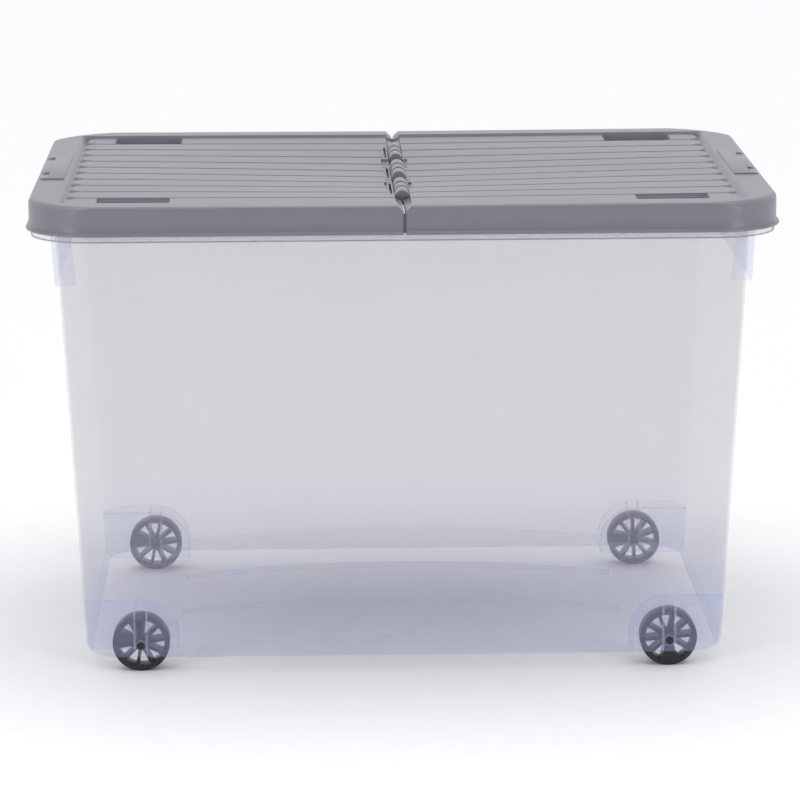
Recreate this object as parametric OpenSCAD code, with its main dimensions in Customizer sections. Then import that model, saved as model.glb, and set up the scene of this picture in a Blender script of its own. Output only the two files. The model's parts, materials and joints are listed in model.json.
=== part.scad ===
// Wheeled storage box with a two-part hinged lid.
// Origin: middle of the footprint on the ground. +X is the long side, -Y the front, +Z up.

/* [Tub] */
// Outside length of the tub at its bottom edge
tub_length = 683; // [560:1:820]
// Outside depth of the tub at its bottom edge
tub_depth = 486; // [400:1:590]
// Height of the rim's top above the ground
rim_height = 478; // [380:1:570]
// Sideways lean of each wall from bottom to rim
wall_lean = 24.3; // [10:0.1:40]
// Wall thickness of the tub
tub_wall = 2.3; // [1.8:0.1:4]
// Outside radius of the upright corners at the bottom
corner_bottom = 45; // [30:1:70]
// Outside radius of the upright corners at the rim
corner_top = 60; // [45:1:80]
// Gap between the tub's bottom edge and the ground
ground_gap = 16.6; // [10:0.1:22]
// Height of the floor's ends above the tub's bottom edge
floor_raise = 12.4; // [6:0.1:20]
// How far the middle of the floor stands above its ends
floor_crown = 12; // [4:0.5:20]
// Distance of each floor rib from the middle
floor_rib_y = 78; // [40:1:120]

/* [Rim and grips] */
// How far the rim reaches past the wall at the two ends
rim_out_end = 24.2; // [20:0.1:30]
// How far the rim reaches past the wall at front and back
rim_out_side = 18.7; // [15:0.1:24]
// Thickness of the rim
rim_thick = 3; // [2:0.1:4]
// Height of the turned-down edge of the rim
rim_edge = 5.4; // [4:0.1:12]
// Height of the stepped grip pad below the rim at each end
grip_height = 54; // [30:1:80]
// How far the grip pad stands out from the end wall
grip_out = 4.5; // [2:0.1:8]

/* [Wheels] */
// Wheel diameter
wheel_dia = 61; // [50:1:66]
// Wheel width
wheel_width = 20; // [12:1:22]
// Distance from each end of the tub's bottom to the wheel's centre
wheel_inset_end = 59.5; // [55:0.5:80]
// Distance from the front or back of the tub's bottom to the wheel's middle plane
wheel_inset_side = 21; // [20:0.5:34]
// Divisions of the wheel, one of them left solid
wheel_divisions = 10; // [6:1:14]
// Thickness of a wheel spoke
spoke_thick = 3.6; // [2:0.1:5]
// Thickness of the wheel's rim
wheel_rim = 5.6; // [4:0.1:8]
// Diameter of an axle pin
axle_dia = 8.4; // [6:0.1:10]
// Radial clearance of a wheel on its axle pin
axle_play = 0.06; // [0.02:0.01:0.1]
// Clearance between a wheel's tread and its housing
housing_gap = 7.5; // [5:0.5:12]

/* [Lid] */
// How far the lid's lip reaches past the tub's rim at each end
lip_out_end = 5; // [3:0.1:10]
// How far the lid's lip reaches past the tub's rim at front and back
lip_out_side = 4; // [2.5:0.1:10]
// Outside radius of the lid's corners
lid_corner = 71; // [60:1:85]
// Thickness of the lip
lip_thick = 2.8; // [2:0.1:4]
// How far the lip stands out from the lid's wall
lip_proud = 3.2; // [2:0.1:6]
// Height of the lid from the lip's underside to its top
lid_height = 31.2; // [24:0.1:44]
// Wall thickness of the lid
lid_wall = 2.4; // [2:0.1:4]
// Gap between the two lid halves
split_gap = 2.4; // [1.5:0.1:4]
// Width of the plain border at each end of the lid
border_end = 50; // [42:1:60]
// Width of the plain border at front and back of the lid
border_side = 34; // [28:1:44]
// Distance between neighbouring panel grooves
groove_pitch = 45.5; // [38:0.5:48]
// Width of a panel groove
groove_width = 2.2; // [1:0.1:4]
// Depth of a panel groove
groove_depth = 1.4; // [0.6:0.1:1.8]
// Drop of the panel from its end to the middle hinge
panel_drop = 6.7; // [0:0.1:7]
// Length of a wheel pocket
pocket_length = 75; // [68:1:84]
// Depth of a wheel pocket below the panel
pocket_depth = 8; // [5:0.5:12]

/* [Middle hinge] */
// Diameter of a hinge barrel
barrel_dia = 13; // [11:0.5:15]
// Diameter of the hinge bar
bar_dia = 7; // [5:0.1:8]
// Radial clearance of a knuckle on its bar
bar_play = 0.08; // [0.02:0.01:0.1]
// Distance between neighbouring hinges
hinge_pitch = 145; // [130:1:155]
// Length of each outer lug of a hinge
lug_length = 36; // [24:1:40]
// Length of the knuckle between two lugs
knuckle_length = 36; // [24:1:40]
// Gap between a lug and the knuckle
knuckle_gap = 6; // [1:0.5:6]

/* [Latches] */
// Width of a latch
latch_width = 176; // [150:1:240]
// Thickness of the latch's plate
latch_thick = 3; // [2:0.1:4]
// Distance of each latch knuckle from the latch's middle
latch_knuckle_y = 56; // [30:1:62]
// Width of a latch knuckle
latch_knuckle = 16; // [10:1:20]
// Diameter of the bar that a latch turns on
latch_bar_dia = 4; // [3:0.1:5]

/* [Hidden] */
$fn = 72;
eps = 0.02;
seat_gap = 0.3;            // between the lid's lip and the rim it rests on
fit_gap = 0.05;            // around an axle pin where the tub holds it
clear_gap = 0.6;           // around moving hinge barrels
grey = [0.63, 0.62, 0.64];
clear_plastic = [0.80, 0.80, 0.87, 0.5];
black = [0.05, 0.05, 0.055];

// tub
half_x = tub_length / 2;
half_y = tub_depth / 2;
tub_high = rim_height - ground_gap;
function lean(z) = wall_lean * (z - ground_gap) / tub_high;
function corner(z) = corner_bottom + (corner_top - corner_bottom) * (z - ground_gap) / tub_high;
floor_low = ground_gap + floor_raise;                       // top of the floor at its ends
floor_high = floor_low + floor_crown;               // top of the floor in the middle
rim_x = half_x + wall_lean + rim_out_end;
rim_y = half_y + wall_lean + rim_out_side;
rim_corner = lid_corner - lip_out_end;
grip_half_y = half_y + wall_lean - corner_top * 0.3;
grip_wide = half_x + wall_lean + grip_out;

// wheels
wheel_r = wheel_dia / 2;
wheel_x = half_x - wheel_inset_end;
wheel_y = half_y - wheel_inset_side;
hub_r = axle_dia / 2 + 3.4;
housing_r = wheel_r + housing_gap + tub_wall;
housing_side = 5;                                   // room beside a wheel, towards the middle
housing_play = 2.4;                                 // between a wheel and the ribs beside it
housing_back = wheel_y - wheel_width / 2 - housing_side - tub_wall - housing_play;
guide_thick = 1.6;
guide_space = axle_dia + 2.2;
crown_x = wheel_x - housing_r - 12;                 // the crowned floor ends here
crown_r = (crown_x * crown_x + floor_crown * floor_crown) / (2 * floor_crown);

// lid
lip_low = rim_height + seat_gap;
lip_x = rim_x + lip_out_end;
lip_y = rim_y + lip_out_side;
lid_x = lip_x - lip_proud;
lid_y = lip_y - lip_proud;
lid_r = lid_corner - lip_proud;
lid_top = lip_low + lid_height;
edge_round = 7;                                     // roundness of the lid's top edge
panel_x = lip_x - border_end;
panel_y = lip_y - border_side;
panel_top = lid_top - 1;                            // panel height at its end
panel_tilt = atan(panel_drop / panel_x);
hinge_z = panel_top - panel_drop - 0.5;
barrel_r = barrel_dia / 2;
bar_r = bar_dia / 2;
hinge_length = 2 * (lug_length + knuckle_gap) + knuckle_length;
open_max = 90;                                      // opening angle of the hinged half
pocket_width = panel_y - 6 - 4.5 * groove_pitch;    // from the last groove to the panel's edge
pocket_y = panel_y - 6 - pocket_width / 2;

// latches
pad_high = 1.2;
latch_axis_x = lid_x - 5.3;
latch_axis_z = lid_top - 6;
latch_in = lid_x + 0.5;
latch_out = latch_in + latch_thick;
latch_low = rim_height - rim_edge - 4.5;
latch_knuckle_r = latch_bar_dia / 2 + 2.2;
latch_notch = latch_knuckle + 4;

// A rectangle with round corners, in the middle of the plane
module rounded(x, y, r) {
    square([2 * x, 2 * (y - r)], center = true);
    square([2 * (x - r), 2 * y], center = true);
    for (sx = [-1, 1], sy = [-1, 1])
        translate([sx * (x - r), sy * (y - r)]) circle(r);
}

// A thin slice of the tub's outside shape at one height
module tub_slice(z, inset) {
    translate([0, 0, z])
        linear_extrude(eps)
            rounded(half_x + lean(z) - inset, half_y + lean(z) - inset, corner(z) - inset, $fn = 32);
}

// The tub's outside shape between two heights, moved inwards by inset
module tub_block(low, high, inset = 0) {
    hull() {
        tub_slice(low, inset);
        tub_slice(high - eps, inset);
    }
}

// An outline drawn in X and Z, made thick from y0 to y1
module along_y(y0, y1) {
    translate([0, y1, 0]) rotate([90, 0, 0]) linear_extrude(y1 - y0) children();
}

// One wheel housing's outline around the axle, reaching out to the end wall
module housing_outline(r) {
    translate([wheel_x, wheel_r]) {
        circle(r);
        translate([0, -wheel_r]) square([wheel_inset_end + wall_lean, wheel_r + r]);
        translate([-r, -wheel_r]) square([2 * r, wheel_r]);
    }
}

// The front right housing's solid, or with a larger inset its hollow
module housing(inset) {
    along_y(-half_y - wall_lean, -housing_back - inset) housing_outline(housing_r - inset);
}

module at_corners() {
    for (mx = [0, 1], my = [0, 1])
        mirror([mx, 0, 0]) mirror([0, my, 0]) children();
}

// The barrel-shaped top of the floor
module crown(r) {
    translate([0, half_y, floor_high - crown_r]) rotate([90, 0, 0]) cylinder(r = r, h = 2 * half_y, $fn = 720);
}

module rim() {
    // the rim grows out of the middle of the wall
    wall_x = half_x + wall_lean - tub_wall / 2;
    wall_y = half_y + wall_lean - tub_wall / 2;
    translate([0, 0, rim_height - rim_thick])
        linear_extrude(rim_thick)
            difference() {
                rounded(rim_x, rim_y, rim_corner);
                rounded(wall_x, wall_y, corner_top - tub_wall / 2);
            }
    translate([0, 0, rim_height - rim_edge])
        linear_extrude(rim_edge)
            difference() {
                rounded(rim_x, rim_y, rim_corner);
                rounded(rim_x - tub_wall, rim_y - tub_wall, rim_corner - tub_wall);
            }
}

// Stepped pad across both ends, right under the rim
module grip_pads() {
    translate([-grip_wide, -grip_half_y, rim_height - rim_thick - grip_height])
        cube([2 * grip_wide, 2 * grip_half_y, grip_height + eps]);
}

// Two ribs that guide an axle pin up into its place, on both walls of a housing
module axle_guides() {
    deck = wheel_r + housing_r - tub_wall + eps;
    for (s = [-1, 1])
        translate([wheel_x + s * (guide_space + guide_thick) / 2 - guide_thick / 2, 0, ground_gap]) {
            translate([0, -half_y + tub_wall / 2, 0])
                cube([guide_thick, wheel_inset_side - wheel_width / 2 - tub_wall / 2 - housing_play, deck - ground_gap]);
            translate([0, -housing_back - tub_wall - housing_side, 0])
                cube([guide_thick, housing_side + tub_wall / 2, deck - ground_gap]);
        }
}

// Ribs under the crowned floor
module floor_ribs() {
    intersection() {
        crown(crown_r - tub_wall / 2);
        for (y = [-floor_rib_y, floor_rib_y])
            translate([-crown_x, y - tub_wall / 2, ground_gap + floor_raise / 2])
                cube([2 * crown_x, tub_wall, floor_high]);
    }
}

module tub() color(clear_plastic) {
    difference() {
        union() {
            difference() {
                union() {
                    tub_block(ground_gap, rim_height);
                    grip_pads();
                }
                // room above the floor
                difference() {
                    tub_block(floor_low, rim_height + 1, tub_wall);
                    crown(crown_r);
                    at_corners() housing(0);
                }
                // room below the floor
                difference() {
                    tub_block(ground_gap - 1, floor_high, tub_wall);
                    difference() {
                        translate([-half_x, -half_y, floor_low - tub_wall])
                            cube([2 * half_x, 2 * half_y, floor_crown + 10]);
                        crown(crown_r - tub_wall);
                    }
                    at_corners() housing(0);
                }
                // wheel hollows
                intersection() {
                    tub_block(ground_gap - 1, floor_low + housing_r + wheel_r, tub_wall);
                    at_corners() housing(tub_wall);
                }
            }
            rim();
            floor_ribs();
            at_corners() axle_guides();
        }
        at_corners()
            translate([wheel_x, -housing_back, wheel_r])
                rotate([90, 0, 0]) cylinder(d = axle_dia + 2 * fit_gap, h = half_y);
    }
}

module wheel_outline() {
    window_out = wheel_r - wheel_rim;
    step = 360 / wheel_divisions;
    difference() {
        circle(wheel_r, $fn = 120);
        circle(axle_dia / 2 + axle_play);
        difference() {
            circle(window_out, $fn = 120);
            circle(hub_r);
            for (i = [0:wheel_divisions - 1])
                rotate(i * step) translate([0, -spoke_thick / 2]) square([window_out + 1, spoke_thick]);
            // the division left solid
            polygon([[0, 0], [wheel_r, 0], wheel_r * [cos(step), sin(step)]]);
        }
    }
}

// A wheel at one corner, with its solid division turned to an angle
module wheel(sx, sy, turn) color(black) {
    translate([sx * wheel_x, sy * wheel_y + wheel_width / 2, wheel_r])
        rotate([90, 0, 0]) linear_extrude(wheel_width) rotate(turn) wheel_outline();
}

// An axle pin at one corner: it reaches from the housing's inner wall to just outside the tub
module axle(sx, sy) color(black) {
    inner = housing_back + 0.5;
    outer = half_y + 2.4;
    translate([sx * wheel_x, sy > 0 ? outer : -inner, wheel_r])
        rotate([90, 0, 0]) cylinder(d = axle_dia, h = outer - inner);
}

// Outside shape of the whole lid above the lip, moved inwards by inset
module lid_block(inset, top) {
    hull()
        for (p = [[lip_low, 0], [top - edge_round, 1], [top - 2, 3.5], [top - eps, edge_round]])
            translate([0, 0, p[0]])
                linear_extrude(eps)
                    rounded(lid_x - p[1] - inset, lid_y - p[1] - inset, lid_r - p[1] - inset, $fn = 32);
}

// The panel's own frame: x runs from the hinge line to the panel's end, z = 0 on its surface
module on_panel() {
    translate([panel_x, 0, panel_top]) rotate([0, -panel_tilt, 0]) translate([-panel_x, 0, 0]) children();
}

module panel_plate() {
    on_panel()
        translate([0, -panel_y - 1, -lid_wall - 0.6])
            cube([panel_x + 1, 2 * panel_y + 2, lid_wall + 0.6]);
    for (s = [-1, 1])
        translate([0, s * (panel_y + lid_wall / 2) - lid_wall / 2, panel_top - panel_drop - lid_wall])
            cube([panel_x + 1, lid_wall, panel_drop + lid_wall]);
}

module panel_grooves() {
    on_panel()
        for (i = [-4.5:1:4.5])
            translate([-1, i * groove_pitch - groove_width / 2, -groove_depth])
                cube([panel_x - 8, groove_width, groove_depth + 5]);
}

// Pockets for the wheels of a box stacked on top
module pockets(grow, low) {
    for (s = [-1, 1])
        translate([wheel_x - pocket_length / 2 - grow, s * pocket_y - pocket_width / 2 - grow, low])
            cube([pocket_length + 2 * grow, pocket_width + 2 * grow, lid_top - low]);
}

// Rounded hollow in line with the hinge, at both of its ends
module scoop(r) {
    hinge_end = hinge_pitch + hinge_length / 2;
    for (s = [-1, 1])
        translate([0, s * (hinge_end + panel_y - 6) / 2, hinge_z]) rotate([90, 0, 0])
            cylinder(r = r, h = panel_y - 6 - hinge_end + 2 * (r - barrel_r), center = true);
}

// Bars and cheeks that carry a latch
module latch_seats() {
    for (s = [-1, 1]) translate([latch_axis_x, s * latch_knuckle_y, latch_axis_z]) {
        rotate([90, 0, 0]) cylinder(d = latch_bar_dia, h = latch_notch + 4, center = true);
        for (t = [-1, 1])
            translate([-3.5, t * (latch_notch / 2 + 1.5) - 1.5, -3.5]) cube([5.5, 3, 7]);
    }
}

module latch_notches() {
    for (s = [-1, 1])
        translate([latch_axis_x - 5.5, s * latch_knuckle_y - latch_notch / 2, latch_axis_z - 8])
            cube([20, latch_notch, 30]);
}

// Lets the two halves' edges pass each other while one half opens
module split_relief() {
    rise = tan((180 - open_max) / 2);
    along_y(-lip_y - 1, lip_y + 1)
        polygon([[0, hinge_z - 1], [(lid_top + 3 - hinge_z) / rise, lid_top + 2], [0, lid_top + 2]]);
}

// Everything the two halves share, drawn for the right half
module lid_half() {
    difference() {
        union() {
            difference() {
                intersection() {
                    union() {
                        difference() {
                            lid_block(0, lid_top);
                            lid_block(lid_wall, lid_top - lid_wall);
                        }
                        translate([0, 0, lip_low])
                            linear_extrude(lip_thick)
                                difference() {
                                    rounded(lip_x, lip_y, lid_corner);
                                    rounded(lip_x - 15, lip_y - 15, lid_corner - 15);
                                }
                    }
                    translate([split_gap / 2, -lip_y - 1, lip_low - 1])
                        cube([lip_x, 2 * lip_y + 2, lid_height + 5]);
                }
                // opening for the panel
                translate([-1, -panel_y, lid_top - panel_drop - 6])
                    cube([panel_x + 1, 2 * panel_y, 20]);
                // the lip stops beside the latch
                translate([lid_x, -latch_width / 2 - 1, lip_low - 1])
                    cube([20, latch_width + 2, lid_height + 5]);
                latch_notches();
            }
            // raised pad behind the latch
            difference() {
                translate([lip_x - border_end + 12, -latch_width / 2, lid_top - 1])
                    cube([latch_axis_x - lip_x + border_end - 12, latch_width, 1 + pad_high]);
                latch_notches();
            }
            latch_seats();
            panel_plate();
            pockets(lid_wall, panel_top - pocket_depth - lid_wall);
            // edge web along the split
            translate([0, -panel_y, lip_low + 6])
                cube([split_gap / 2 + lid_wall, 2 * panel_y, panel_top - panel_drop - lip_low - 7]);
            intersection() {
                scoop(barrel_r + 2 + lid_wall);
                translate([0, -panel_y, 0]) cube([20, 2 * panel_y, hinge_z - 0.5]);
            }
        }
        // everything above the panel
        on_panel()
            translate([-1, -panel_y + 2, 0]) cube([panel_x - 3, 2 * panel_y - 4, 30]);
        panel_grooves();
        pockets(0, panel_top - pocket_depth);
        scoop(barrel_r + 2);
        split_relief();
        translate([-20, -lip_y, 0]) cube([20 + split_gap / 2, 2 * lip_y, 600]);
    }
}

module at_hinges() {
    for (i = [-1, 0, 1]) translate([0, i * hinge_pitch, hinge_z]) children();
}

module barrel(r, length) {
    rotate([90, 0, 0]) cylinder(r = r, h = length, center = true);
}

// Room around the barrels of the other half: sx is the half that is cut
module barrel_room(sx, y, length) {
    reach = barrel_r + clear_gap + 0.5;
    translate([sx > 0 ? -1 : -reach, y - length / 2, -16])
        cube([reach + 1, length, 30]);
}

module lid_left() color(grey) {
    slot_x = barrel_r + 2.6;
    difference() {
        union() {
            mirror([1, 0, 0]) lid_half();
            // raised frame beside each hinge
            at_hinges()
                translate([-barrel_r - 6, -hinge_length / 2, -4]) cube([5.5, hinge_length, 4.6]);
        }
        at_hinges() {
            barrel_room(-1, 0, knuckle_length + 2 * knuckle_gap);
            translate([-slot_x - 1.4, -hinge_length * 0.27, -20]) cube([1.4, hinge_length * 0.54, 40]);
        }
    }
    at_hinges() {
        for (s = [-1, 1])
            translate([0, s * (hinge_length - lug_length) / 2, 0]) barrel(barrel_r, lug_length);
        barrel(bar_r, knuckle_length + 2 * knuckle_gap + 2);
    }
}

module lid_right() color(grey) {
    room_start = knuckle_length / 2;
    room_end = hinge_length / 2 + clear_gap;
    difference() {
        union() {
            difference() {
                lid_half();
                at_hinges()
                    for (s = [-1, 1])
                        barrel_room(1, s * (room_start + room_end) / 2, room_end - room_start);
            }
            at_hinges() {
                barrel(barrel_r, knuckle_length);
                translate([0, -knuckle_length / 2, -barrel_r]) cube([barrel_r + 3, knuckle_length, barrel_r - 0.6]);
            }
        }
        at_hinges() {
            barrel(bar_r + bar_play, knuckle_length + 2);
            // snap mouth of the knuckle
            translate([-bar_r * 0.8, -knuckle_length / 2 - 1, -30]) cube([bar_r * 1.6, knuckle_length + 2, 30]);
        }
    }
}

// The right latch: plate, hook edge and two knuckles
module latch() {
    difference() {
        union() {
            translate([latch_in, -latch_width / 2, latch_low])
                cube([latch_thick, latch_width, latch_axis_z - 3.5 - latch_low]);
            translate([rim_x + 0.4, -latch_width / 2, latch_low])
                cube([latch_in - rim_x, latch_width, rim_height - rim_edge - 0.5 - latch_low]);
            for (s = [-1, 1]) translate([0, s * latch_knuckle_y, 0]) {
                translate([latch_axis_x, 0, latch_axis_z])
                    rotate([90, 0, 0]) cylinder(r = latch_knuckle_r, h = latch_knuckle, center = true);
                translate([latch_axis_x, -latch_knuckle / 2, latch_axis_z - 6.5])
                    cube([latch_out - latch_axis_x, latch_knuckle, 6.5]);
            }
        }
        for (s = [-1, 1]) translate([latch_axis_x, s * latch_knuckle_y, latch_axis_z])
            rotate([90, 0, 0])
                cylinder(d = latch_bar_dia + 2 * bar_play, h = latch_notch, center = true);
    }
}

module latch_left() color(grey) mirror([1, 0, 0]) latch();
module latch_right() color(grey) latch();

tub();
lid_left();
lid_right();
latch_left();
latch_right();
wheel(-1, -1, 153);  // wheel_front_left
wheel(1, -1, 257);  // wheel_front_right
wheel(-1, 1, 150);  // wheel_rear_left
wheel(1, 1, 165);  // wheel_rear_right
axle(-1, -1);  // axle_front_left
axle(1, -1);  // axle_front_right
axle(-1, 1);  // axle_rear_left
axle(1, 1);  // axle_rear_right
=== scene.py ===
"""A wheeled storage box: clear tapered tub, folding grey lid with end latches, four black wheels.

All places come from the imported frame, in metres. +X is the long side, -Y the front, +Z up.
"""

import json
import math

import bpy
import bmesh
from mathutils import Matrix, Vector


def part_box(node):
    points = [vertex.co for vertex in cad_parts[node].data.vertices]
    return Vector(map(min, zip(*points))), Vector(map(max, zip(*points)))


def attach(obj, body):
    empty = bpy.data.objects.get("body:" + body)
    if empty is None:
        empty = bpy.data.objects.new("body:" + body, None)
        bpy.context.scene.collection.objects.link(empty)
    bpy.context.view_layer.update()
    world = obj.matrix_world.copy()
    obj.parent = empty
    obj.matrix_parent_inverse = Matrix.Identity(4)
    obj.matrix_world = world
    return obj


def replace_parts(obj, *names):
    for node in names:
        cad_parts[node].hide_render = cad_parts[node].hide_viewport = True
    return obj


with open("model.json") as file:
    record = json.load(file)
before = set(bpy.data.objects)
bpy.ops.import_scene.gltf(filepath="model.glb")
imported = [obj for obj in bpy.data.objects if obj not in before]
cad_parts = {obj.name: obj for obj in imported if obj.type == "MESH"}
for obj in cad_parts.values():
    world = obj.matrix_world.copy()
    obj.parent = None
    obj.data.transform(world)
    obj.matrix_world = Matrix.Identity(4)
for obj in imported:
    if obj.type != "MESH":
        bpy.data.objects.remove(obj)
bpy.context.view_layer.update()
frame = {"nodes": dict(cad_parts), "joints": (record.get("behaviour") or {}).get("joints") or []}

MM = 0.001

# ---------------------------------------------------------------- sizes read from the frame
TUB_LOW, TUB_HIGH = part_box("tub")
LID_LOW, LID_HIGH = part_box("lid_right")
WHEEL_LOW, WHEEL_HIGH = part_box("wheel_front_right")
AXLE_LOW, AXLE_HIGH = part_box("axle_front_right")
JOINT_AT = {j["name"]: Vector(j["pos_m"]) for j in frame["joints"] if "pos_m" in j}

WHEEL_OUT = max(abs(WHEEL_LOW.y), abs(WHEEL_HIGH.y))
WHEEL_IN = min(abs(WHEEL_LOW.y), abs(WHEEL_HIGH.y))
AXLE_R = (AXLE_HIGH.z - AXLE_LOW.z) / 2
AXLE_X = JOINT_AT["wheel_front_right_spin"].x
AXLE_Z = JOINT_AT["wheel_front_right_spin"].z
HINGE_Z = JOINT_AT["lid_fold"].z
LATCH_X = JOINT_AT["latch_right_turn"].x
LATCH_Z = JOINT_AT["latch_right_turn"].z

RIM_X, RIM_Y, RIM_Z = TUB_HIGH
TUB_Z = TUB_LOW.z
LIP_X, LIP_Y = LID_HIGH.x, LID_HIGH.y
LIP_Z = LID_LOW.z
PAD_Z = LID_HIGH.z

# ---------------------------------------------------------------- sizes of the visible detail
WALL = 2.3 * MM                 # tub wall
LEAN = 24.3 * MM                # how far each tub wall leans out up to the rim
BASE_X = RIM_X - 48.5 * MM      # tub wall at its bottom
BASE_Y = RIM_Y - 43 * MM
CORNER_LOW = 45 * MM
CORNER_HIGH = 60 * MM
RIM_CORNER = 66 * MM
FLOOR_Z = 29 * MM               # floor at its ends
CROWN = 12 * MM                 # rise of the floor in the middle
HOUSE_Y = 202 * MM              # inner wall of the wheel housings
HOUSE_R = 40.5 * MM
CROWN_X = AXLE_X - HOUSE_R       # half length of the crowned part
GRIP_Y = 249 * MM               # half the width of the skirt under the rim at each end
GRIP_DEEP = 57.4 * MM           # its lower edge, below the rim
FLOOR_RIB_Y = 79 * MM
FLOOR_RIB_DEEP = 6.5 * MM
GUIDE_GAP = 6.5 * MM            # from the axle to each plate that guides it

LID_WALL = 2.6 * MM
LIP_PROUD = 3.2 * MM
LID_CORNER = 67.8 * MM
TOP_ROUND = 2.6 * MM            # rounding of the lid's top edge on the sides
CORNER_ROUND = 11.4 * MM        # and at its corners
LID_X = LIP_X - LIP_PROUD
LID_Y = LIP_Y - LIP_PROUD
BORDER_Z = PAD_Z - 1.5 * MM     # top of the plain border at the lid's ends
PANEL_X = 361 * MM              # edge of the ribbed panel
BAR_X = 353 * MM                # ends of its bars
PANEL_Y = 256 * MM
BAR_Y = 252 * MM                # outer sides of the front and back bars
BAR_CORNER = 15 * MM
PANEL_SHEET = 5.2 * MM          # from the bars' tops to the underside
SPLIT = 1.2 * MM                # half the gap between the lid's halves
SPLIT_ROUND = 2 * MM            # rounding of the outside at the split
PITCH = 45.5 * MM               # between panel grooves
GROOVES = [(i - 4.5) * PITCH for i in range(10)]
HINGES = (-137 * MM, 0.0, 137 * MM)
BARREL_R = 7.8 * MM
LUG = (20 * MM, 48 * MM)        # ends of a lug, from the middle of its hinge
HINGE_BAR = (33 * MM, 3.5 * MM) # half length and radius of the bar between the lugs
KNUCKLE = 12.5 * MM             # half the length of the knuckle between them
HINGE_END = 50 * MM             # half the length of the frame round a hinge
SLOT_X = (10.3 * MM, 12.5 * MM) # narrow slot in that frame
SLOT_Y = 38 * MM
SLOT_DEEP = 4 * MM
TROUGH_R = 8.05 * MM            # hollow that the hinge barrels lie in
TROUGH_WALL = 2 * MM
TROUGH_Y = 187 * MM             # outside of this it becomes a shallow scoop
SCOOP_Y = 258 * MM
SAG = 7.7 * MM                  # drop of the panel in the middle of the hinge line
POCKET_X = (245 * MM, 320 * MM)
POCKET_Y = (206 * MM, 253 * MM)
POCKET_DEEP = 8.5 * MM
POCKET_CORNER = 3 * MM
POCKET_WALL = 2.2 * MM
LATCH_Y = 88 * MM               # half the width of a latch
LATCH_THICK = 2.9 * MM
LATCH_KNUCKLE_Y = 56 * MM
LATCH_KNUCKLE_R = 4.6 * MM


# ---------------------------------------------------------------- mesh helpers
EDGE_ANGLE = 32                 # degrees above which an edge counts as sharp


def smoothstep(a, b, v):
    """0 below a, 1 above b and a soft step between."""
    t = min(1.0, max(0.0, (v - a) / (b - a)))
    return t * t * (3 - 2 * t)


def make(name, verts, faces, body, slot, material, bevel=0.0, sharp=EDGE_ANGLE):
    """A closed mesh piece with outward normals, soft shading and, if asked, rounded edges."""
    mesh = bpy.data.meshes.new(name)
    mesh.from_pydata([tuple(v) for v in verts], [], faces)
    bm = bmesh.new()
    bm.from_mesh(mesh)
    bmesh.ops.remove_doubles(bm, verts=bm.verts, dist=1e-6)
    bmesh.ops.recalc_face_normals(bm, faces=bm.faces)
    bm.to_mesh(mesh)
    bm.free()
    obj = bpy.data.objects.new(name, mesh)
    bpy.context.scene.collection.objects.link(obj)
    if bevel:
        round_edges(obj, bevel)
    finish_shading(obj, sharp)
    obj.data.materials.append(material)
    obj.visible_shadow = slot != "tub_plastic"      # clear plastic lets the light in
    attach(obj, body)
    return obj


def round_edges(obj, width, segments=3):
    """Rounds every edge sharper than EDGE_ANGLE and keeps the result as the piece's mesh."""
    mod = obj.modifiers.new("round", "BEVEL")
    mod.width = width
    mod.segments = segments
    mod.limit_method = "ANGLE"
    mod.angle_limit = math.radians(EDGE_ANGLE)
    mod.harden_normals = False
    bpy.context.view_layer.update()
    depsgraph = bpy.context.evaluated_depsgraph_get()
    rounded = bpy.data.meshes.new_from_object(obj.evaluated_get(depsgraph))
    obj.modifiers.clear()
    obj.data = rounded


def finish_shading(obj, sharp):
    """Soft shading, apart from edges sharper than this many degrees."""
    obj.data.polygons.foreach_set("use_smooth", [True] * len(obj.data.polygons))
    obj.data.set_sharp_from_angle(angle=math.radians(sharp))


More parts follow.
